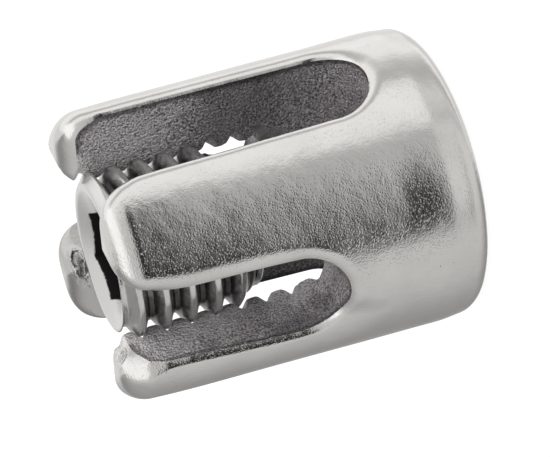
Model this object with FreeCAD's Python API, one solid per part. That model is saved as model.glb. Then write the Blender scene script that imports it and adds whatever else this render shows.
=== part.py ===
import FreeCAD, Part
import math
import os

from FreeCAD import Vector as V

# Wire-rope cross clamp with a hexagon-socket set screw and a pressure pad under the screw.
# Frame: origin at the centre of the closed base's outer face, +Z along the axis towards the
# open, castellated end where the set screw goes in. Deep rope slot along X, shallow along Y.
# All lengths in millimetres.

# --- cast body ---------------------------------------------------------------------------
BODY_LENGTH = 21.2          # base face to prong tips
BASE_R = 8.63               # outside radius at the base
TIP_R = 8.40                # outside radius at the prong tips (foundry draft)
BASE_RIM_R = 0.95           # rounding of the base's rim
TIP_OUTER_R = 1.70          # rounding of the prong tips, outer edge
TIP_SIDE_R = 1.45           # rounding of the prong tips, slot side
TIP_ARC = math.radians(66.0)    # how far round the tip roundings go before the tip plane
SLOT_EDGE_R = 0.46          # rounding where slot walls meet the outside
SLOT_EDGE_MIN_R = 1.7       # edges to round lie at least this far outside the bore

SLOT_W_TIP = 5.94           # rope slot width at the prong tips
SLOT_W_BASE = 5.33          # the same walls, continued to the base face
SLOT_WALL_SLOPE = 0.5 * (SLOT_W_TIP - SLOT_W_BASE) / BODY_LENGTH
DEEP_FLOOR_Z = 4.12         # floor of the deep rope seat (runs along X)
SHALLOW_FLOOR_Z = 8.42      # floor of the shallow rope seat (runs along Y)
SEAT_GAUGE_H = 2.7          # height above the floor where the slot width sets the seat radius
SLOT_CUT_OVER = 3.0         # the slot cutter goes on this far above the tips
SLOT_CUT_FLARE = 0.6        # and widens by this much on each side
SLOT_CUT_LENGTH = 30.0

# --- thread ------------------------------------------------------------------------------
PITCH = 1.5
PITCH_R = 4.51
FLANK = math.tan(math.radians(30.0))
THREAD_PHASE_Z = 0.327      # the screw's ridge crosses azimuth 0 at this height plus n pitches
BODY_MINOR_R = 4.40         # crests of the cast internal thread
BODY_MAJOR_R = 5.03         # roots of the cast internal thread
BODY_RIDGE_W = 0.67         # ridge width at the pitch radius
BORE_FLOOR_Z = 7.95
BORE_MOUTH_R = 5.12         # 45 degree lead-in at the prong tips
GROOVE_START_Z = 8.75       # no body groove has its centre below this
GROOVE_END_OVER = 0.6       # grooves centred up to this far above the tips are still cut
GROOVE_SPAN = 76.0          # degrees of helix cut in each prong
GROOVE_FLANK_LAP = 0.02     # groove flanks start this far inside the bore wall
GROOVE_LAP = 0.6            # the groove cutter reaches this far into the bore

# --- set screw ---------------------------------------------------------------------------
SCREW_CREST_R = 4.90
SCREW_ROOT_R = 4.08
SCREW_RIDGE_W = 0.67        # ridge width at the pitch radius
SCREW_FACE_Z = 20.36
SCREW_LENGTH = 8.0
SCREW_END_Z = SCREW_FACE_Z - SCREW_LENGTH
RIDGE_START = 0.80          # centre of the ridge's first end, above the screw's inner end
RIDGE_OVER = 0.8            # the ridge runs this far past the outer face, then is trimmed
RIDGE_SINK = 0.25           # the ridge is sunk this far into the core
SCREW_FACE_R = 4.26         # outer face after the end chamfer
FACE_CHAMFER_RATIO = 0.8    # height of the outer chamfer over its width
SCREW_TIP_R = 3.82          # inner face after its chamfer
SCREW_TIP_CHAMFER = 0.30
RUN_IN_START = 0.36         # where the thread starts to rise from the core
RUN_IN_H = 0.85             # height over which it rises
TRIM_R = SCREW_CREST_R + 0.05   # trim envelope, just clear of the crests

HEX_AF = 5.0                # across flats
HEX_AZ = 7.7                # a corner of the socket points this way, in degrees from +X
HEX_DEPTH = 3.6
HEX_SINK_DEPTH = 0.47       # shallow conical dish round the socket mouth
HEX_SINK_R = 3.95
HEX_SINK_INSET = 0.06       # the dish's bottom lies this far inside the flats
DRILL_TIP = 0.75            # depth of the drill point below the socket
DRILL_TRIM = 0.02           # radius of its blunt end, and its gap to the flats

# --- pressure pad ------------------------------------------------------------------------
PAD_R = 3.80
PAD_GAP = 0.06              # axial play under the screw
PAD_THICK = 0.46
PAD_LOWER_CHAMFER = 0.16
PAD_UPPER_CHAMFER = 0.10
STEM_R = 1.25
STEM_NECK = 0.95            # screw's inner end to the underside of the stem head
STEM_HEAD_R = 1.60
STEM_HEAD_H = 0.55
STEM_HEAD_RIM_H = 0.25      # straight part of the head's side
STEM_HEAD_INSET = 0.25      # the head's top is smaller in radius by this much
STEM_LAP_LOW = 0.1          # overlap of stem and disc
STEM_LAP_HIGH = 0.05        # overlap of stem and head

# play between the pad's stem and its pocket in the screw
STEM_CLEAR = 0.05
HEAD_SIDE_CLEAR = 0.12
HEAD_LOW_CLEAR = 0.12
HEAD_TOP_CLEAR = 0.1


# --- helpers -----------------------------------------------------------------------------
def cyl(radius, z0, z1):
    return Part.makeCylinder(radius, z1 - z0, V(0, 0, z0))


def cone(r0, z0, r1, z1):
    return Part.makeCone(r0, r1, z1 - z0, V(0, 0, z0))


def closed_polygon(points):
    """Closed wire in the XZ plane through (radius, height) points."""
    return Part.makePolygon([V(x, 0, z) for x, z in points + points[:1]])


def spin(face):
    return face.revolve(V(0, 0, 0), V(0, 0, 1), 360)


def curve_face(curves):
    """Face bounded by curves that join end to end."""
    return Part.Face(Part.Wire(Part.__sortEdges__([c.toShape() for c in curves])))


def on_arc(x, z, radius, angle):
    """Point in the XZ plane on a circle centred at (x, z)."""
    return V(x + radius * math.cos(angle), 0, z + radius * math.sin(angle))


def thread_profile(inner_r, flank_r, outer_r, pitch_width):
    """Thread section: parallel from inner_r to flank_r, then tapering out to outer_r."""
    def half_width(r):
        return 0.5 * pitch_width - FLANK * (r - PITCH_R)

    side = [(inner_r, half_width(flank_r)), (flank_r, half_width(flank_r)),
            (outer_r, half_width(outer_r))]
    return [(r, -h) for r, h in side] + side[::-1]


def thread_solid(profile, z_start, turns, azimuth):
    """Solid swept by a closed profile along a right-hand helix about Z."""
    helix = Part.makeHelix(PITCH, PITCH * turns, PITCH_R)
    pipe = Part.BRepOffsetAPI.MakePipeShell(Part.Wire(helix.Edges))
    pipe.setFrenetMode(True)
    pipe.add(Part.Wire(closed_polygon(profile).Edges), False, False)
    pipe.build()
    pipe.makeSolid()
    solid = pipe.shape()
    solid.rotate(V(0, 0, 0), V(0, 0, 1), azimuth)
    solid.translate(V(0, 0, z_start))
    # the sweep may come out inside out
    if solid.Volume < 0:
        solid.reverse()
    return solid


# --- cast body ---------------------------------------------------------------------------
def outer_solid():
    """Slightly tapered round blank with a rounded rim and a rounded tip edge."""
    slope = (TIP_R - BASE_R) / BODY_LENGTH
    lean = math.atan(slope)

    def arc_centre_x(z, radius):
        """Centre of an arc at height z that is tangent to the tapered side."""
        return BASE_R + slope * z - radius / math.cos(lean)

    rim_x = arc_centre_x(BASE_RIM_R, BASE_RIM_R)
    tip_z = BODY_LENGTH - TIP_OUTER_R * math.sin(TIP_ARC)
    tip_x = arc_centre_x(tip_z, TIP_OUTER_R)
    rim = [on_arc(rim_x, BASE_RIM_R, BASE_RIM_R, a) for a in (-math.pi / 2, -math.pi / 4, -lean)]
    tip = [on_arc(tip_x, tip_z, TIP_OUTER_R, a) for a in (-lean, TIP_ARC / 2, TIP_ARC)]
    base_centre = V(0, 0, 0)
    tip_centre = V(0, 0, tip[2].z)
    return spin(curve_face([
        Part.LineSegment(base_centre, rim[0]), Part.Arc(*rim),
        Part.LineSegment(rim[2], tip[0]), Part.Arc(*tip),
        Part.LineSegment(tip[2], tip_centre), Part.LineSegment(tip_centre, base_centre)]))


def slot_face(floor_z):
    """Slot section in the XZ plane: drafted walls, round seat, flared mouth."""
    seat_r = 0.5 * SLOT_W_BASE + SLOT_WALL_SLOPE * (floor_z + SEAT_GAUGE_H)
    lean = math.atan(SLOT_WALL_SLOPE)
    # the seat arc ends where it is tangent to the drafted wall
    seat_end = on_arc(0, floor_z + seat_r, seat_r, -lean)
    # the mouth arc is tangent to the wall and meets the tip plane at a shallow angle
    mouth_z = BODY_LENGTH - TIP_SIDE_R * math.sin(TIP_ARC)
    mouth_x = (seat_end.x + (mouth_z - seat_end.z) * math.tan(lean)
               + TIP_SIDE_R / math.cos(lean))
    mouth = [on_arc(mouth_x, mouth_z, TIP_SIDE_R, math.pi - a)
             for a in (lean, 0.5 * (lean + TIP_ARC), TIP_ARC)]
    top = V(mouth[2].x + SLOT_CUT_FLARE, 0, BODY_LENGTH + SLOT_CUT_OVER)

    def mirrored(point):
        return V(-point.x, 0, point.z)

    curves = []
    for place in (V, mirrored):
        wall, middle, lip = [place(p) for p in mouth]
        curves += [Part.LineSegment(place(seat_end), wall), Part.Arc(wall, middle, lip),
                   Part.LineSegment(lip, place(top))]
    curves += [Part.Arc(mirrored(seat_end), V(0, 0, floor_z), seat_end),
               Part.LineSegment(mirrored(top), top)]
    return curve_face(curves)


def slot_solid(floor_z, along_x):
    face = slot_face(floor_z)
    face.translate(V(0, -SLOT_CUT_LENGTH / 2, 0))
    solid = face.extrude(V(0, SLOT_CUT_LENGTH, 0))
    if along_x:
        solid.rotate(V(0, 0, 0), V(0, 0, 1), 90)
    return solid


def bore_solid():
    bore = cyl(BODY_MINOR_R, BORE_FLOOR_Z, BODY_LENGTH + 5)
    mouth_depth = BORE_MOUTH_R - BODY_MINOR_R
    return bore.fuse(cone(BODY_MINOR_R, BODY_LENGTH - mouth_depth,
                          BORE_MOUTH_R + 1.0, BODY_LENGTH + 1.0))


def is_slot_edge(body, edge):
    """True where a slot wall meets the tapered outside."""
    for t in (0.25, 0.5, 0.75):
        p = edge.valueAt(edge.FirstParameter + t * (edge.LastParameter - edge.FirstParameter))
        if math.hypot(p.x, p.y) <= BODY_MINOR_R + SLOT_EDGE_MIN_R:
            return False
    kinds = {type(f.Surface).__name__ for f in body.ancestorsOfType(edge, Part.Face)}
    return "Cone" in kinds and len(kinds) > 1 and "Toroid" not in kinds


def round_slot_edges(body):
    edges = [e for e in body.Edges if is_slot_edge(body, e)]
    # guards the fillet: if it fails or spoils the solid, the edges stay sharp
    try:
        rounded = body.makeFillet(SLOT_EDGE_R, edges)
        if rounded.isValid() and abs(rounded.Volume - body.Volume) < 0.05 * body.Volume:
            return rounded
    except Exception:
        pass
    return body


def thread_grooves():
    """Cutters for the internal thread: one helix, as a short arc per prong and turn."""
    profile = thread_profile(BODY_MINOR_R - GROOVE_LAP, BODY_MINOR_R - GROOVE_FLANK_LAP,
                             BODY_MAJOR_R, PITCH - BODY_RIDGE_W)
    turns = GROOVE_SPAN / 360.0
    grooves = []
    for prong in (45.0, 135.0, 225.0, 315.0):
        z = THREAD_PHASE_Z + PITCH * prong / 360.0
        while z < BODY_LENGTH + GROOVE_END_OVER:
            if z >= GROOVE_START_Z:
                grooves.append(thread_solid(profile, z - 0.5 * PITCH * turns, turns,
                                            prong - 0.5 * GROOVE_SPAN))
            z += PITCH
    return grooves


def clamp_body():
    body = outer_solid()
    body = body.cut(slot_solid(DEEP_FLOOR_Z, True))
    body = body.cut(slot_solid(SHALLOW_FLOOR_Z, False))
    body = body.cut(bore_solid())
    body = round_slot_edges(body)
    for groove in thread_grooves():
        body = body.cut(groove)
    return body


# --- set screw ---------------------------------------------------------------------------
def screw_ridge():
    profile = thread_profile(SCREW_ROOT_R - RIDGE_SINK, SCREW_ROOT_R, SCREW_CREST_R,
                             SCREW_RIDGE_W)
    # below the root the section is parallel, so the ridge sinks squarely into the core
    start = SCREW_END_Z + RIDGE_START
    turns = (SCREW_FACE_Z + RIDGE_OVER - start) / PITCH
    azimuth = (start - THREAD_PHASE_Z) / PITCH % 1.0 * 360.0
    return thread_solid(profile, start, turns, azimuth)


def screw_envelope():
    """Trims the ridge to the end faces, the chamfers and the thread's run-in."""
    z0, z1 = SCREW_END_Z, SCREW_FACE_Z
    run_in_z = z0 + RUN_IN_START
    face_chamfer_h = FACE_CHAMFER_RATIO * (TRIM_R - SCREW_FACE_R)
    return spin(Part.Face(closed_polygon([
        (0, z0), (SCREW_TIP_R, z0), (SCREW_ROOT_R, z0 + SCREW_TIP_CHAMFER),
        (SCREW_ROOT_R + 0.001, run_in_z), (TRIM_R, run_in_z + RUN_IN_H),
        (TRIM_R, z1 - face_chamfer_h), (SCREW_FACE_R, z1), (0, z1)])))


def cut_socket(screw):
    """Hexagon socket with a drill point below it and a dish round its mouth."""
    floor_z = SCREW_FACE_Z - HEX_DEPTH
    corner_r = HEX_AF / math.sqrt(3.0)
    corners = []
    for i in range(7):
        angle = math.radians(60 * i + HEX_AZ)
        corners.append(V(corner_r * math.cos(angle), corner_r * math.sin(angle), floor_z))
    hexagon = Part.Face(Part.makePolygon(corners))
    screw = screw.cut(hexagon.extrude(V(0, 0, HEX_DEPTH + 1)))
    screw = screw.cut(cone(DRILL_TRIM, floor_z - DRILL_TIP, HEX_AF / 2 - DRILL_TRIM, floor_z))
    dish_r = HEX_AF / 2 - HEX_SINK_INSET
    slope = (HEX_SINK_R - dish_r) / HEX_SINK_DEPTH
    over = 0.5
    return screw.cut(cone(dish_r, SCREW_FACE_Z - HEX_SINK_DEPTH,
                          HEX_SINK_R + slope * over, SCREW_FACE_Z + over))


def stem_pocket():
    """Pocket that holds the pad's stem."""
    head_z = SCREW_END_Z + STEM_NECK
    neck = cyl(STEM_R + STEM_CLEAR, SCREW_END_Z - 1, head_z)
    return neck.fuse(cyl(STEM_HEAD_R + HEAD_SIDE_CLEAR, head_z - HEAD_LOW_CLEAR,
                         head_z + STEM_HEAD_H + HEAD_TOP_CLEAR))


def set_screw():
    core = cyl(SCREW_ROOT_R, SCREW_END_Z, SCREW_FACE_Z)
    screw = core.fuse(screw_ridge())
    screw = screw.common(screw_envelope())
    screw = cut_socket(screw)
    return screw.cut(stem_pocket())


# --- pressure pad ------------------------------------------------------------------------
def pressure_pad():
    top = SCREW_END_Z - PAD_GAP
    bottom = top - PAD_THICK
    disc = spin(Part.Face(closed_polygon([
        (0, bottom), (PAD_R - PAD_LOWER_CHAMFER, bottom), (PAD_R, bottom + PAD_LOWER_CHAMFER),
        (PAD_R, top - PAD_UPPER_CHAMFER), (PAD_R - PAD_UPPER_CHAMFER, top), (0, top)])))
    head_z = SCREW_END_Z + STEM_NECK
    head_top = head_z + STEM_HEAD_H
    stem = cyl(STEM_R, top - STEM_LAP_LOW, head_z + STEM_LAP_HIGH)
    head = spin(Part.Face(closed_polygon([
        (0, head_z), (STEM_HEAD_R, head_z), (STEM_HEAD_R, head_z + STEM_HEAD_RIM_H),
        (STEM_HEAD_R - STEM_HEAD_INSET, head_top), (0, head_top)])))
    return disc.fuse(stem).fuse(head).removeSplitter()


os.makedirs("parts", exist_ok=True)
for name, make in (("clamp_body", clamp_body), ("set_screw", set_screw),
                   ("pressure_pad", pressure_pad)):
    shape = make()
    # export a bare solid where the result holds only one
    if len(shape.Solids) == 1:
        shape = shape.Solids[0]
    shape.exportStep("parts/%s.step" % name)
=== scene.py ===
# Wire-rope cross clamp: a round cast body cut into four prongs by two crossing slots, with a
# grub screw on its axis. Shapes are distance functions in millimetres, negative inside the metal,
# in the part's own frame: base face at z = 0, +Z towards the open end, deep slot along X,
# shallow slot along Y. Prongs are named by quadrant: near +X -Y, far -X +Y, minus -X -Y.
import math
import bpy
import numpy as np
from mathutils import Matrix, Vector


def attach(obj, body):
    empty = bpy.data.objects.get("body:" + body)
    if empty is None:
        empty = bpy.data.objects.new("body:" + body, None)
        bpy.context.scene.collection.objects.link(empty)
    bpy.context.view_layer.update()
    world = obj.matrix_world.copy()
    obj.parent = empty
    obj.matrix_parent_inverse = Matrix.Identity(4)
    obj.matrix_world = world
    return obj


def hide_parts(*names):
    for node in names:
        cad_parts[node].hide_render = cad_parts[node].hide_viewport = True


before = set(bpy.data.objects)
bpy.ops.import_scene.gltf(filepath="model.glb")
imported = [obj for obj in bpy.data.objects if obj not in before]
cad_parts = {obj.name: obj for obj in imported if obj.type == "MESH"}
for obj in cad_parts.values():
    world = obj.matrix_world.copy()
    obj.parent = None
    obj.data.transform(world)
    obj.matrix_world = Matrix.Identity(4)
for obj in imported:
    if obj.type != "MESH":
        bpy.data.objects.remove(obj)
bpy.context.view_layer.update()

# === sizes, mm ==================================================================================
LENGTH = 21.2
BASE_RADIUS = 8.63
TIP_RADIUS = 8.40
RIM_ROUND = 0.95
SLOT_TIP_WIDTH = 5.94
SLOT_BASE_WIDTH = 5.33
DEEP_FLOOR_Z = 4.12
SHALLOW_FLOOR_Z = 8.42

PITCH = 1.5
PITCH_RADIUS = 4.51
FLANK_SLOPE = math.tan(math.radians(30))
PHASE_Z = 0.327             # height of a screw ridge on the +X side
BORE_MINOR = 4.40
BORE_MAJOR = 5.03
BORE_FLOOR_Z = 7.95

CREST_RADIUS = 4.86
ROOT_RADIUS = 4.08
FACE_Z = 20.36              # socket end of the screw
END_Z = FACE_Z - 8.0        # its inner end
HEX_WIDTH = 5.0             # across flats
HEX_TURN = math.radians(7.7)
HEX_FLOOR_Z = FACE_Z - 3.6
STEM_RADIUS = 1.30
STEM_DEPTH = 0.95

CAMERA_AZIMUTH = -49.10     # degrees, compass direction of the camera from the part's axis


# === distance helpers ===========================================================================
def smooth(start, end, value):
    """Smoothstep: 0 at start, 1 at end."""
    t = np.clip((value - start) / (end - start), 0.0, 1.0)
    return t * t * (3 - 2 * t)


def soft_plus(value, size):
    """Positive part, with its corner rounded."""
    return 0.5 * (value + np.sqrt(value * value + size * size))


def meet(a, b, radius):
    """Intersection of two shapes, its edge rounded."""
    return (np.minimum(-radius, np.maximum(a, b))
            + np.hypot(np.maximum(a + radius, 0), np.maximum(b + radius, 0)))


def soft_clip(value, low, high, size):
    """Clip with rounded corners."""
    def soft_max(a, b):
        return 0.5 * (a + b + np.sqrt((a - b) ** 2 + size * size))
    return -soft_max(-soft_max(value, low), -high)


def cone(radius, start, along, slope, scale):
    """Inside a cone; scale turns the radial gap into a distance."""
    return (radius - start - along * slope) * scale


def lattice_random(ix, iy, iz, seed):
    """Repeatable value from -1 to 1 at each whole-number point."""
    n = (ix.astype(np.int64) * 374761393 + iy.astype(np.int64) * 668265263
         + iz.astype(np.int64) * 1440662683 + seed * 974634777) & 0xFFFFFFFF
    n = ((n ^ (n >> 13)) * 1274126177) & 0xFFFFFFFF
    n = ((n ^ (n >> 15)) * 2246822519) & 0xFFFFFFFF
    return ((n ^ (n >> 16)) & 0xFFFFFF) / float(0x7FFFFF) - 1.0


def value_noise(x, y, z, size, seed):
    """Smooth noise, -1 to 1, with features about size millimetres across."""
    scaled = [axis / size for axis in (x, y, z)]
    cell = [np.floor(s) for s in scaled]
    blend = []
    for s, low in zip(scaled, cell):
        f = s - low
        blend.append(f * f * f * (f * (f * 6 - 15) + 10))
    total = 0.0
    for corner in np.ndindex(2, 2, 2):
        wx, wy, wz = (b if high else 1 - b for b, high in zip(blend, corner))
        point = [c + high for c, high in zip(cell, corner)]
        total = total + wx * wy * wz * lattice_random(*point, seed)
    return total


def thread_offset(x, y, z):
    """Axial distance from the middle of the screw's nearest ridge."""
    t = (z - PHASE_Z) / PITCH - np.arctan2(y, x) / (2 * math.pi)
    return np.abs((t - np.round(t)) * PITCH)


def flank_scale(radius, low, high):
    """Turns a radial gap into a distance, on and off the thread's flanks."""
    return np.where((radius > low) & (radius < high), 0.55, 0.9)


# === cast body ==================================================================================
def near_prong(x, y):
    return smooth(-1.0, 2.5, x) * smooth(-4.0, -6.5, y)


def minus_prong(x, y):
    return smooth(1.0, -2.0, x) * smooth(-4.0, -6.5, y)


def far_prong(x, y):
    return smooth(0.5, 3.0, -x) * smooth(0.5, 3.0, y)


def slot_distance(offset, z, floor):
    """Inside a round-ended, tapering slot; offset is the distance from its middle plane."""
    taper = SLOT_TIP_WIDTH - SLOT_BASE_WIDTH
    radius = 0.5 * (SLOT_BASE_WIDTH + taper * (floor + 2.7) / LENGTH)
    centre_z = floor + radius
    half = radius + 0.5 * taper * (z - centre_z) / LENGTH
    return np.where(z > centre_z, np.abs(offset) - half, np.hypot(offset, z - centre_z) - radius)


def turned(x, y, degrees):
    """Distances along and across a compass direction."""
    angle = math.radians(degrees)
    return (x * math.cos(angle) + y * math.sin(angle),
            y * math.cos(angle) - x * math.sin(angle))


def sprue_marks(x, y, z):
    """Rough sprue scars on two prong tips: 1 in the scar, and its raised lip."""
    # on the bore side of the far prong
    along, across = turned(x, y, 131.0)
    reach = np.hypot((z - 20.55) / 0.40, across / 0.92) + 4.0 * smooth(4.2, 3.2, along)
    scar = smooth(1.0, 0.74, reach)
    lip = smooth(0.72, 0.95, reach) * smooth(1.34, 1.04, reach)
    # a small nick on the tip of the minus prong
    along, across = turned(x, y, -126.0)
    reach = np.hypot((along - 5.7) / 0.55, across / 0.36) + 4.0 * smooth(20.6, 20.0, z)
    return (np.maximum(scar, smooth(1.0, 0.6, reach)),
            np.maximum(lip, 0.4 * smooth(1.5, 1.0, reach)))


def edge_shape(x, y, z):
    """Radius of the worn slot edges, and how far short of the wall they stop."""
    near = near_prong(x, y)
    minus = minus_prong(x, y)
    tips = smooth(LENGTH - 2.7 - 1.5 * near, LENGTH - 0.7, z)
    near_upper = near * smooth(9.5, 13.5, z)
    radius = 0.98 + 0.45 * near + 1.00 * near_upper - 0.42 * minus
    drop = 0.17 + 0.42 * near + 0.57 * near_upper - 0.05 * minus
    return radius + (1.50 - radius) * tips, drop + (0.10 - drop) * tips


def body_side(x, y, z):
    """The tapering outside wall and its rounded foot."""
    slope = (TIP_RADIUS - BASE_RADIUS) / LENGTH
    radius = BASE_RADIUS + slope * z - 0.10 * smooth(16.0, 21.5, z) ** 1.5
    # a slight swelling above the rim, strongest on the camera's side, then the wall leans in
    turn = np.degrees(np.arctan2(y, x)) - CAMERA_AZIMUTH
    swell = smooth(5.0, 2.4, z) * smooth(1.0, 2.3, z)
    radius = radius + swell * (0.02 + 0.125 * np.exp(-((turn + 8.0) / 11.0) ** 2))
    radius = radius - 0.105 * soft_plus(2.0 - z, 0.3)
    return meet(np.hypot(x, y) - radius, -z, RIM_ROUND)


def body_bore(x, y, z):
    """The void side of the cast thread: blunt teeth, a little uneven."""
    groove = PITCH_RADIUS + (0.415 - thread_offset(x, y, z)) / FLANK_SLOPE
    top = BORE_MINOR + (BORE_MAJOR - BORE_MINOR) * smooth(8.3, 9.2, z)
    radius = soft_clip(groove, BORE_MINOR + 0.02, top, size=0.10)
    radius = np.maximum(radius, 5.12 - (LENGTH - z))        # flared mouth
    gap = (radius - np.hypot(x, y)) * flank_scale(groove, BORE_MINOR, BORE_MAJOR)
    return np.minimum(gap, z - BORE_FLOOR_Z)


def body_parts(x, y, z):
    """(outer, walls, roll, bore): outside, slot walls, outside with worn edges, threaded bore."""
    walls = meet(-slot_distance(y, z, DEEP_FLOOR_Z), -slot_distance(x, z, SHALLOW_FLOOR_Z), 0.3)
    tip = z - (LENGTH + 0.02 + 0.13 * far_prong(x, y))
    outer = meet(body_side(x, y, z), tip, 1.62)
    # the minus prong leans in towards the shallow slot before its edge
    lean = 3.3 + 1.0 * np.clip((z - 11.5) / 6.0, 0.0, 1.0)
    outer = meet(outer, walls - 8.8 + lean * minus_prong(x, y), 8.5)
    radius, drop = edge_shape(x, y, z)
    roll = meet(outer, walls - drop, radius)
    return outer, walls, roll, body_bore(x, y, z)


def body_plain(x, y, z):
    _, walls, roll, bore = body_parts(x, y, z)
    mouth_round = 0.10 + 0.28 * smooth(LENGTH - 1.6, LENGTH - 0.9, z)
    return meet(np.maximum(roll, walls), bore, mouth_round)


def body_masks(x, y, z):
    """Polished outside, threaded bore, sprue scar and a painted shadow line."""
    outer, walls, roll, bore = body_parts(x, y, z)
    radius, drop = edge_shape(x, y, z)
    # the polish stops at the crisp edge, which lies this far below the outer surface
    deep = radius - np.sqrt(radius * radius - (radius - drop) ** 2)
    far = far_prong(x, y)
    in_bore = (smooth(-0.06, 0.0, bore - np.maximum(walls, roll))
               * smooth(20.5 - 0.5 * far, 20.1 - 0.5 * far, z))
    on_roll = smooth(-0.04, 0.02, outer + deep)
    outside = on_roll * (1 - in_bore)
    outside = np.maximum(outside, smooth(20.1 - 0.5 * far, 20.5 - 0.5 * far, z)
                         * smooth(-0.06, 0.0, bore - walls))
    outside = np.maximum(outside, far * smooth(18.0, 18.8, z) * (1 - in_bore))
    # painted shadow on the slot wall, just inside the crisp edge
    painted_wall_shadow = smooth(-0.20, -0.05, roll) * (1 - on_roll) * smooth(0.5, 0.8, -bore)
    return {"outside": outside, "thread": in_bore,
            "scar": sprue_marks(x, y, z)[0] * outside, "painted_wall_shadow": painted_wall_shadow * (1 - in_bore)}


def body_full(x, y, z):
    """The plain body with surface waves, casting grain and sprue scars."""
    def noise(size, seed):
        return value_noise(x, y, z, size, seed)

    masks = body_masks(x, y, z)
    outside = masks["outside"]
    wave = (0.016 * noise(size=3.4, seed=11) + 0.007 * noise(size=1.5, seed=12)
            + 0.0026 * noise(size=0.7, seed=13))
    grain = 0.014 * noise(size=0.95, seed=21) + 0.016 * noise(size=0.42, seed=22)
    lip = sprue_marks(x, y, z)[1]
    distance = (body_plain(x, y, z) - 0.09 * lip * outside
                + masks["scar"] * (0.11 + 0.035 * noise(size=0.42, seed=31)))
    return distance + wave * outside + grain * (1 - outside) * (1 - 0.35 * masks["thread"])


def body_edge(x, y, z):
    """The two surfaces whose meeting line is kept crisp, and the bore."""
    _, walls, roll, bore = body_parts(x, y, z)
    return roll, walls, bore


# === grub screw =================================================================================
def countersink(radius, z):
    return cone(radius, start=2.887, along=z - (FACE_Z - 0.33), slope=3.21, scale=0.297)


def screw_void(x, y, z):
    """Hexagon socket, countersink, drill point, and the stepped pocket for the pad's stem."""
    radius = np.hypot(x, y)
    hexagon = -1e9
    for k in range(3):
        angle = HEX_TURN + math.radians(30 + 60 * k)
        flat = np.abs(x * math.cos(angle) + y * math.sin(angle)) - HEX_WIDTH / 2
        hexagon = np.maximum(hexagon, flat)
    hexagon = np.maximum(hexagon, HEX_FLOOR_Z - z)
    drill = cone(radius, start=HEX_WIDTH / 2 - 0.02, along=HEX_FLOOR_Z - z, slope=-3.3, scale=0.29)
    drill = np.maximum(drill, z - (FACE_Z - 3.3))
    void = np.minimum(np.minimum(hexagon, countersink(radius, z)), drill)
    pocket = np.maximum(radius - STEM_RADIUS, z - (END_Z + STEM_DEPTH))
    wide = np.maximum(radius - 1.72, np.abs(z - (END_Z + 1.21)) - 0.38)
    return np.minimum(void, np.minimum(pocket, wide))


def screw_shape(x, y, z):
    radius = np.hypot(x, y)
    ridge = PITCH_RADIUS + (0.355 - thread_offset(x, y, z)) / FLANK_SLOPE
    crest = ROOT_RADIUS + (CREST_RADIUS - ROOT_RADIUS) * smooth(END_Z + 0.42, END_Z + 1.15, z)
    side = soft_clip(ridge, ROOT_RADIUS, crest, size=0.045)
    distance = (radius - side) * flank_scale(ridge, ROOT_RADIUS, crest)
    # chamfered ends
    face = meet(z - FACE_Z, cone(radius, start=4.26, along=FACE_Z - z, slope=1.25, scale=0.62),
                0.06)
    end = meet(END_Z - z, cone(radius, start=3.82, along=z - END_Z, slope=0.87, scale=0.75),
               0.05)
    distance = meet(distance, np.maximum(face, end), 0.05)
    return meet(distance, -screw_void(x, y, z), 0.04)


def screw_masks(x, y, z):
    """Socket-end face, hexagon walls below the countersink, thread roots and crests, where painted
    highlight and shade go.
    """
    radius = np.hypot(x, y)
    socket = (smooth(0.01, 0.04, countersink(radius, z)) * smooth(3.05, 2.95, radius)
              * smooth(FACE_Z - 0.2, FACE_Z - 0.3, z))
    return {"face": smooth(FACE_Z - 0.9, FACE_Z - 0.5, z),
            "socket": socket,
            "painted_root_shade": smooth(4.50, 4.20, radius) * smooth(FACE_Z - 0.45, FACE_Z - 0.75, z),
            "crest": smooth(CREST_RADIUS - 0.10, CREST_RADIUS - 0.03, radius)}


# === meshing ====================================================================================
def surface_nets(shape, low, high, step):
    """Closed quad mesh of shape = 0: one vertex in each grid cell the surface crosses."""
    axes = [np.arange(a, b + step, step) for a, b in zip(low, high)]
    nx, ny, nz = (len(axis) for axis in axes)
    field = np.empty((nx, ny, nz), np.float32)
    slab = 16               # layers worked out at once, to save memory
    for k in range(0, nz, slab):
        grid = np.meshgrid(axes[0], axes[1], axes[2][k:k + slab], indexing="ij")
        field[:, :, k:k + slab] = shape(*grid)
    inside = field < 0
    total = nx * ny * nz
    sums = np.zeros((4, total))         # per cell: x, y, z sums and count of crossings
    quads = []
    for axis in range(3):
        lower = [slice(None)] * 3
        upper = [slice(None)] * 3
        lower[axis] = slice(0, -1)
        upper[axis] = slice(1, None)
        lower, upper = tuple(lower), tuple(upper)
        crossed = inside[lower] != inside[upper]
        index = np.argwhere(crossed)
        f0 = field[lower][crossed].astype(float)
        f1 = field[upper][crossed].astype(float)
        place = index.astype(float)
        place[:, axis] += f0 / (f0 - f1)
        # the four cells around the crossed grid edge
        cells = []
        for d1, d2 in ((-1, -1), (0, -1), (0, 0), (-1, 0)):
            c = index.copy()
            c[:, (axis + 1) % 3] += d1
            c[:, (axis + 2) % 3] += d2
            cells.append((c[:, 0] * ny + c[:, 1]) * nz + c[:, 2])
        for cell in cells:
            for n in range(3):
                sums[n] += np.bincount(cell, place[:, n], total)
            sums[3] += np.bincount(cell, None, total)
        quad = np.stack(cells, 1)
        flip = ~inside[lower][crossed]
        quad[flip] = quad[flip][:, ::-1]
        quads.append(quad)
    used = np.flatnonzero(sums[3])
    renumber = np.full(total, -1, np.int64)
    renumber[used] = np.arange(len(used))
    origin = np.array([axis[0] for axis in axes])
    points = (sums[:3, used] / sums[3, used]).T * step + origin
    return points, renumber[np.concatenate(quads)]


def gradient(shape, points, reach):
    slope = np.empty_like(points)
    for n in range(3):
        shift = np.zeros(3)
        shift[n] = reach
        ahead, behind = points + shift, points - shift
        slope[:, n] = (shape(*ahead.T) - shape(*behind.T)) / (2 * reach)
    return slope


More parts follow.
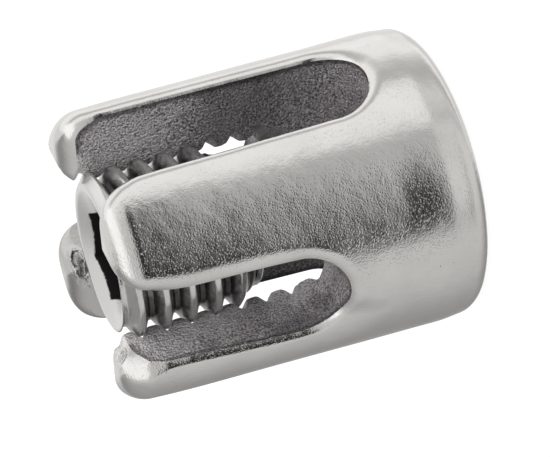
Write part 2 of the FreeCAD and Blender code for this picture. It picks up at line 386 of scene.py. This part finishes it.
def unit(vectors):
    return vectors / np.maximum(np.linalg.norm(vectors, axis=1), 1e-9)[:, None]


def limited(move, limit):
    """Shortens moves longer than limit."""
    size = np.linalg.norm(move, axis=1)
    return move * np.minimum(1, limit / np.maximum(size, 1e-9))[:, None]


def settle(shape, points, times):
    """Moves the points onto the surface."""
    for _ in range(times):
        value = shape(*points.T)
        slope = gradient(shape, points, 0.012)
        square = np.maximum((slope * slope).sum(1), 0.09)
        points = points + limited(-(value / square)[:, None] * slope, 0.08)
    return points


def relax(points, quads, shape, times):
    """Evens the quads out along the surface."""
    a = np.concatenate([quads[:, n] for n in range(4)])
    b = np.concatenate([quads[:, (n + 1) % 4] for n in range(4)])
    total = len(points)
    count = np.bincount(a, None, total) + np.bincount(b, None, total)
    for _ in range(times):
        sums = [np.bincount(a, points[b, n], total) + np.bincount(b, points[a, n], total)
                for n in range(3)]
        move = np.stack(sums, 1) / count[:, None] - points
        normal = unit(gradient(shape, points, 0.02))
        move -= (move * normal).sum(1)[:, None] * normal
        points = points + 0.5 * move
    return points


def snap(points, edge, step):
    """Moves the vertices nearest a crisp edge onto it; returns which ones moved."""
    a, b, bore = edge(*points.T)
    reach = 0.62 * step
    pick = np.flatnonzero((np.abs(a) < reach) & (np.abs(b) < reach) & (bore < -0.25))
    moved = points[pick]
    for _ in range(5):
        a, b, _bore = edge(*moved.T)
        slope_a = gradient(lambda x, y, z: edge(x, y, z)[0], moved, 0.01)
        slope_b = gradient(lambda x, y, z: edge(x, y, z)[1], moved, 0.01)
        aa = (slope_a * slope_a).sum(1)
        bb = (slope_b * slope_b).sum(1)
        ab = (slope_a * slope_b).sum(1)
        det = np.maximum(aa * bb - ab * ab, 0.05)
        along_a = (bb * a - ab * b) / det
        along_b = (aa * b - ab * a) / det
        moved = moved + limited(-(along_a[:, None] * slope_a + along_b[:, None] * slope_b), 0.05)
    kept = np.linalg.norm(moved - points[pick], axis=1) < 1.0 * step
    points = points.copy()
    points[pick[kept]] = moved[kept]
    crisp = np.zeros(len(points), bool)
    crisp[pick[kept]] = True
    return points, crisp


def make_mesh(name, points, quads, normals, attrs):
    """normals and attrs hold one value per face corner."""
    mesh = bpy.data.meshes.new(name)
    count = len(quads)
    mesh.vertices.add(len(points))
    mesh.vertices.foreach_set("co", (points * 0.001).astype(np.float32).ravel())
    mesh.loops.add(4 * count)
    mesh.loops.foreach_set("vertex_index", quads.astype(np.int32).ravel())
    mesh.polygons.add(count)
    mesh.polygons.foreach_set("loop_start", np.arange(0, 4 * count, 4, dtype=np.int32))
    mesh.polygons.foreach_set("use_smooth", np.ones(count, bool))
    mesh.update(calc_edges=True)
    for key, values in attrs.items():
        attribute = mesh.attributes.new(key, "FLOAT", "CORNER")
        attribute.data.foreach_set("value", values.astype(np.float32))
    mesh.normals_split_custom_set(normals.astype(np.float32))
    return link_object(name, mesh)


def link_object(name, data):
    made = bpy.data.objects.new(name, data)
    bpy.context.scene.collection.objects.link(made)
    return made


def build(name, plain, full, low, high, step, masks, edge=None):
    """Meshes plain, settles it onto full, and stores masks and normals at face corners."""
    points, quads = surface_nets(plain, low, high, step)
    points = settle(plain, points, times=2)
    points = relax(points, quads, plain, times=2)
    points = settle(full, points, times=4)
    crisp = np.zeros(len(points), bool)
    if edge is not None:
        points, crisp = snap(points, edge, step)
    corner = quads.ravel()
    normals = gradient(full, points, 0.02)[corner]
    attrs = {key: values[corner] for key, values in masks(*points.T).items()}
    # beside a crisp edge, look up each corner's values a little way inside its own face
    faces = np.flatnonzero(crisp[quads].any(1))
    if len(faces):
        c = points[quads[faces]]
        inset = (c + 0.42 * (c.mean(1, keepdims=True) - c)).reshape(-1, 3)
        at = (faces[:, None] * 4 + np.arange(4)).ravel()
        normals[at] = gradient(full, inset, 0.008)
        for key, values in masks(*inset.T).items():
            attrs[key][at] = values
    return make_mesh(name, points, quads, unit(normals), attrs)


# === pieces =====================================================================================
body = build("cast_body", body_plain, body_full,
             low=(-8.95, -8.95, -0.35), high=(8.95, 8.95, 21.55),
             step=0.150, masks=body_masks, edge=body_edge)
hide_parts("clamp_body")
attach(body, "clamp_body")

screw = build("grub_screw", screw_shape, screw_shape,
              low=(-5.15, -5.15, END_Z - 0.3), high=(5.15, 5.15, FACE_Z + 0.3),
              step=0.082, masks=screw_masks)
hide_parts("set_screw")
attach(screw, "set_screw")


# === shader graphs ==============================================================================
class Signal:
    """An output socket; arithmetic on it adds math nodes."""
    def __init__(self, graph, socket):
        self.graph = graph
        self.socket = socket

    def __add__(self, other):
        return self.graph.math("ADD", self, other)

    def __radd__(self, other):
        return self.graph.math("ADD", other, self)

    def __sub__(self, other):
        return self.graph.math("SUBTRACT", self, other)

    def __rsub__(self, other):
        return self.graph.math("SUBTRACT", other, self)

    def __mul__(self, other):
        return self.graph.math("MULTIPLY", self, other)


class Graph:
    """The emptied node tree of a material or world."""
    def __init__(self, owner):
        owner.use_nodes = True
        self.tree = owner.node_tree
        self.tree.nodes.clear()

    def add(self, kind, inputs, **settings):
        node = self.tree.nodes.new("ShaderNode" + kind)
        for key, value in settings.items():
            setattr(node, key, value)
        for key, value in inputs.items():
            if isinstance(value, Signal):
                self.tree.links.new(value.socket, node.inputs[key])
            else:
                node.inputs[key].default_value = value
        return node

    def get(self, kind, inputs, output=0, **settings):
        return Signal(self, self.add(kind, inputs, **settings).outputs[output])

    def math(self, operation, a, b=None):
        inputs = {0: a} if b is None else {0: a, 1: b}
        return self.get("Math", inputs, operation=operation)

    def vector_math(self, operation, inputs, output=0):
        return self.get("VectorMath", inputs, output, operation=operation)

    def split(self, vector):
        node = self.add("SeparateXYZ", {0: vector})
        return [Signal(self, socket) for socket in node.outputs]

    def ramp(self, value, over, to=(0.0, 1.0)):
        return self.get("MapRange", dict(enumerate((value, *over, *to))),
                        interpolation_type="SMOOTHSTEP")

    def mix(self, factor, a, b):
        """Mix of two colours."""
        return self.get("Mix", {0: factor, 6: a, 7: b}, 2, data_type="RGBA")

    def blend(self, factor, a, b):
        """Mix of two numbers."""
        return self.get("Mix", {0: factor, 2: a, 3: b}, data_type="FLOAT")

    def noise(self, vector, scale, detail=2.0, rough=0.5):
        return self.get("TexNoise", {"Vector": vector, "Scale": scale, "Detail": detail,
                                     "Roughness": rough}, "Fac")

    def cells(self, vector, scale):
        return self.get("TexVoronoi", {"Vector": vector, "Scale": scale}, "Distance")

    def bump(self, height, strength, distance, **below):
        return self.get("Bump", {"Height": height, "Strength": strength, "Distance": distance,
                                 **below})

    def attr(self, name):
        return self.get("Attribute", {}, "Fac", attribute_name=name)


# === materials ==================================================================================
def new_metal(name):
    """Material, its graph, and object coordinates in millimetres."""
    material = bpy.data.materials.new(name)
    g = Graph(material)
    mm = g.vector_math("SCALE", {0: g.get("TexCoord", {}, "Object"), "Scale": 1000.0})
    return material, g, mm


def finish_metal(g, colour, roughness, normal):
    shader = g.get("BsdfPrincipled", {"Metallic": 1.0, "Base Color": colour,
                                      "Roughness": roughness, "Normal": normal})
    g.add("OutputMaterial", {0: shader})


def wall_shade(g, mm):
    """Painted light and shade: slot walls lighter or darker by height and prong, and a darker far
    prong tip.
    """
    x, y, z = g.split(mm)
    height = (g.ramp(z, over=(6.6, 9.5), to=(0.18, -0.26))
              + g.ramp(z, over=(11.5, 15.5), to=(0.0, 1.15)))
    far = g.ramp(x, over=(-0.3, -2.0)) * g.ramp(y, over=(1.0, 3.0))
    minus = g.ramp(x, over=(0.5, -1.5)) * g.ramp(y, over=(-1.0, -3.0))
    shade = (1.0 + height) * g.blend(far, a=1.0, b=0.26)
    minus_gain = g.ramp(z, over=(11.5, 14.0), to=(2.3, 1.45))
    # painted shade: darkens the far prong's polished tip
    painted_far_tip_shade = far * g.ramp(z, over=(17.5, 19.0))
    return shade * g.blend(minus, a=1.0, b=minus_gain), painted_far_tip_shade


def cast_material():
    material, g, mm = new_metal("cast_stainless")
    outside = g.attr("outside")
    thread = g.attr("thread")
    scar = g.attr("scar")
    # polished outside: fine orange peel and scattered small pits
    peel = g.noise(mm, scale=1.5)
    skin = g.noise(mm, scale=8.5, detail=3.0, rough=0.65)
    grain = g.noise(mm, scale=11.0, rough=0.6)
    dots = g.ramp(g.cells(mm, scale=7.5), over=(0.50, 0.08))
    # rougher towards the -X -Y side
    rise = g.vector_math("DOT_PRODUCT", {0: mm, 1: (0.756, 0.655, 0.0)}, "Value")
    coarse = (g.ramp(rise, over=(2.2, -0.6), to=(0.30, 1.0))
              * g.ramp(g.noise(mm, scale=0.8), over=(0.3, 0.6), to=(0.6, 1.0)))
    pits = (g.ramp(g.cells(mm, scale=2.2), over=(0.13, 0.04))
            * g.ramp(g.noise(mm, scale=0.55, rough=0.6), over=(0.52, 0.66)))
    fine_pits = (g.ramp(g.cells(mm, scale=6.0), over=(0.20, 0.07))
                 * g.ramp(g.noise(mm, scale=0.9), over=(0.46, 0.62)))
    speck = g.math("MAXIMUM", pits, fine_pits * 0.5)
    # as-cast slot walls: granular sand texture
    sand = g.noise(mm, scale=8.5, rough=0.65)
    sand_cells = g.cells(mm, scale=6.5)
    patch = g.noise(mm, scale=0.5, detail=3.0, rough=0.6)
    shade, painted_far_tip_shade = wall_shade(g, mm)

    tone = g.noise(mm, scale=0.35, detail=3.0, rough=0.55)
    bright = g.mix(g.ramp(tone, over=(0.3, 0.7)),
                   a=(0.70, 0.688, 0.672, 1), b=(0.655, 0.643, 0.627, 1))
    bright = g.mix(speck * 0.6, bright, b=(0.30, 0.285, 0.27, 1))
    bright = g.mix(scar * g.ramp(sand, over=(0.35, 0.6)), bright, b=(0.36, 0.35, 0.34, 1))
    # painted shade on the far prong's polished tip
    bright = g.mix(painted_far_tip_shade * 0.55, bright, b=(0.36, 0.35, 0.345, 1))
    dull = g.mix(g.ramp(sand, over=(0.28, 0.72)),
                 a=(0.10, 0.091, 0.098, 1), b=(0.80, 0.77, 0.785, 1))
    dull = g.mix(g.ramp(patch, over=(0.42, 0.70), to=(0.0, 0.45)), dull,
                 b=(0.56, 0.535, 0.55, 1))
    dull = g.mix(thread * 0.5, dull, b=(0.74, 0.72, 0.72, 1))
    # painted shadow: near-black along the slot wall just inside the crisp edge
    dull = g.mix(g.attr("painted_wall_shadow") * 0.85, dull, b=(0.05, 0.046, 0.048, 1))
    # painted light and shade: slot wall colour scaled by height and prong
    dull = g.vector_math("SCALE", {0: dull, "Scale": shade})
    dull = g.vector_math("MINIMUM", {0: dull, 1: (0.93, 0.91, 0.92)})   # brightest allowed

    rough_out = (g.blend(g.ramp(grain, over=(0.3, 0.75)), a=0.13, b=0.22)
                 + speck * 0.25 + scar * 0.15)
    rough_in = g.blend(thread, g.blend(sand, a=0.60, b=0.44), b=0.36)
    # relief, weighted by layer
    relief_out = (peel * 0.9 + skin * coarse * 0.46 + grain * 0.10
                  - dots * coarse * 0.40 - pits * 0.8 - fine_pits * 0.35)
    relief_in = sand * 1.0 + sand_cells * -0.5
    polished = g.bump(relief_out, strength=outside * 0.62, distance=0.00003)
    normal = g.bump(relief_in, strength=(1.0 - outside) * 0.95, distance=0.00020,
                    Normal=polished)
    finish_metal(g, g.mix(outside, dull, bright), g.blend(outside, rough_in, rough_out), normal)
    return material


def screw_material():
    material, g, mm = new_metal("screw_stainless")
    socket = g.attr("socket")
    tone = g.noise(mm, scale=1.7, detail=4.0, rough=0.65)
    colour = g.mix(g.ramp(tone, over=(0.35, 0.65)),
                   a=(0.70, 0.695, 0.69, 1), b=(0.42, 0.415, 0.41, 1))
    # painted highlight: even, light colour on the socket-end face and the thread crests
    painted_highlight = g.math("MAXIMUM", g.attr("face"), g.attr("crest") * 0.9)
    colour = g.mix(painted_highlight, colour, b=(0.66, 0.655, 0.645, 1))
    # painted shade in the thread roots
    colour = g.mix(g.attr("painted_root_shade") * 0.85, colour, b=(0.10, 0.097, 0.095, 1))
    # painted shade: near-black on the hexagon socket walls below the countersink
    colour = g.mix(socket, colour, b=(0.045, 0.042, 0.042, 1))
    fine = g.noise(mm, scale=9.0, detail=3.0, rough=0.6)
    roughness = g.blend(socket, g.blend(fine, a=0.14, b=0.26), b=0.55)
    finish_metal(g, colour, roughness,
                 g.bump(fine + tone * 0.9, strength=0.35, distance=0.000022))
    return material


def pad_material():
    material, g, mm = new_metal("pad_stainless")
    tone = g.noise(mm, scale=1.6, detail=4.0, rough=0.6)
    fine = g.noise(mm, scale=8.0, detail=3.0, rough=0.6)
    finish_metal(g, g.mix(tone, a=(0.64, 0.635, 0.63, 1), b=(0.52, 0.515, 0.51, 1)),
                 g.blend(fine, a=0.2, b=0.34), g.bump(fine, strength=0.3, distance=0.00002))
    return material


body.data.materials.append(cast_material())
screw.data.materials.append(screw_material())
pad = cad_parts["pressure_pad"]
pad.data.materials.clear()
pad.data.materials.append(pad_material())


# === floor and camera, metres ===================================================================
FLOOR_RADIUS = 1.6
FLOOR_SIDES = 96
FLOOR_DROP = 0.00002        # keeps it clear of the base face


def make_floor():
    """A self-lit paper disc, unseen in reflections."""
    mesh = bpy.data.meshes.new("floor")
    turns = [2 * math.pi * i / FLOOR_SIDES for i in range(FLOOR_SIDES)]
    ring = [(FLOOR_RADIUS * math.cos(t), FLOOR_RADIUS * math.sin(t), 0.0) for t in turns]
    mesh.from_pydata(ring, [], [list(range(FLOOR_SIDES))])
    floor = link_object("floor", mesh)
    floor.location = (0, 0, -FLOOR_DROP)
    paper = bpy.data.materials.new("floor_paper")
    g = Graph(paper)
    glow = g.get("Emission", {"Color": (1, 1, 1, 1), "Strength": 0.86})
    matt = g.get("BsdfDiffuse", {"Color": (0.30, 0.30, 0.30, 1)})
    g.add("OutputMaterial", {0: g.get("AddShader", {0: glow, 1: matt})})
    mesh.materials.append(paper)
    floor.visible_glossy = False
    floor.visible_shadow = False


def make_camera():
    data = bpy.data.cameras.new("camera")
    data.sensor_width = 36.0
    data.lens = 173.45454545
    data.clip_start = 0.005
    data.clip_end = 20.0
    camera = link_object("camera", data)
    place = (0.0956247, -0.1104142, 0.0488791)
    right = Vector((-0.0342152, -0.3598637, -0.9323773))
    up = Vector((0.7696177, 0.5856816, -0.2542942))
    back = right.cross(up)
    rows = [(right[n], up[n], back[n], place[n]) for n in range(3)]
    camera.matrix_world = Matrix((*rows, (0, 0, 0, 1)))
    bpy.context.scene.camera = camera


# === studio light ===============================================================================
# A world of soft boxes and dark cards, placed by compass angle from the camera (azimuth) and by
# height above the horizon, both in degrees.
DEGREES = 180.0 / math.pi

# (slanted angle, brightness) of the sky on the camera's side
FRONT_SKY = [
    (-60, 0.02), (-33, 0.02), (-25, 0.05), (-18, 0.11), (-10, 0.23), (0, 0.42),
    (12, 0.60), (25, 0.63), (54, 0.55), (75, 0.72), (90, 0.83), (200, 0.84)]
# (azimuth, brightness) of the sky all round
ROUND_SKY = [
    (-180, 0.95), (-170, 0.55), (-162, 0.36), (-144, 0.35), (-130, 0.42), (-110, 0.55),
    (-96, 0.66), (-76, 0.74), (-52, 0.76), (-40, 0.60), (30, 0.60), (60, 0.86),
    (72, 0.66), (84, 0.59), (96, 0.75), (104, 1.00), (116, 1.25), (126, 1.10),
    (132, 0.86), (146, 0.78), (156, 0.90), (180, 0.90)]
# (azimuth range, height range, softness of each, brightness) of the soft boxes
SOFT_BOXES = [
    ((34, 75), (-23, 95), (7, 3), 1.13),        # beside the camera
    ((106, 146), (-24, 70), (6, 4), 1.16),      # behind the part, same side
    ((-75, 110), (52, 88), (12, 8), 1.35)]      # overhead


def curve(g, value, points):
    """Piecewise-linear function; the ramp holds half values, as its colours stop at 1."""
    low, high = points[0][0], points[-1][0]
    node = g.add("ValToRGB", {0: g.get("MapRange", {0: value, 1: low, 2: high, 3: 0.0, 4: 1.0})})
    ramp = node.color_ramp
    ramp.interpolation = "LINEAR"
    while len(ramp.elements) < len(points):
        ramp.elements.new(0.5)
    for element, (place, level) in zip(ramp.elements, points):
        element.position = (place - low) / (high - low)
        half = level / 2.0
        element.color = (half, half, half, 1)
    return Signal(g, node.outputs[0]) * 2.0


def band(g, value, ends, soft):
    """1 between the two ends, fading to 0 outside."""
    start, end = ends
    return (g.ramp(value, over=(start - soft, start + soft))
            * g.ramp(value, over=(end + soft, end - soft)))


def make_world():
    world = bpy.data.worlds.new("studio")
    bpy.context.scene.world = world
    g = Graph(world)
    direction = g.get("VectorRotate", {"Vector": g.get("TexCoord", {}, "Generated"),
                                       "Angle": -math.radians(CAMERA_AZIMUTH)},
                      rotation_type="Z_AXIS")
    x, y, z = g.split(direction)
    azimuth = g.math("ARCTAN2", y, x) * DEGREES
    height = g.math("ARCSINE", z) * DEGREES

    def panel(azimuths, heights, soft):
        return band(g, azimuth, azimuths, soft[0]) * band(g, height, heights, soft[1])

    # the tent fades along a slanted line into a dark card on the camera's side
    slanted = azimuth - (height + 13.0) * 5.3
    front = curve(g, slanted, FRONT_SKY)
    front = g.blend(g.ramp(height, over=(8, 20)), front, b=0.72)
    level = g.blend(panel(azimuths=(-49, 33), heights=(-95, 95), soft=(3, 1)),
                    curve(g, azimuth, ROUND_SKY), front)
    for azimuths, heights, soft, brightness in SOFT_BOXES:
        level = g.blend(panel(azimuths, heights, soft), level, brightness)
    light = g.get("Background", {"Strength": level, "Color": (1.0, 0.995, 0.985, 1)})
    # the camera itself sees plain white
    plain = g.get("Background", {"Color": (1, 1, 1, 1), "Strength": 1.0})
    seen = g.get("LightPath", {}, "Is Camera Ray")
    g.add("OutputWorld", {0: g.get("MixShader", {0: seen, 1: light, 2: plain})})


make_floor()
make_camera()
make_world()
scene = bpy.context.scene
scene.view_settings.view_transform = "Standard"
scene.view_settings.look = "None"
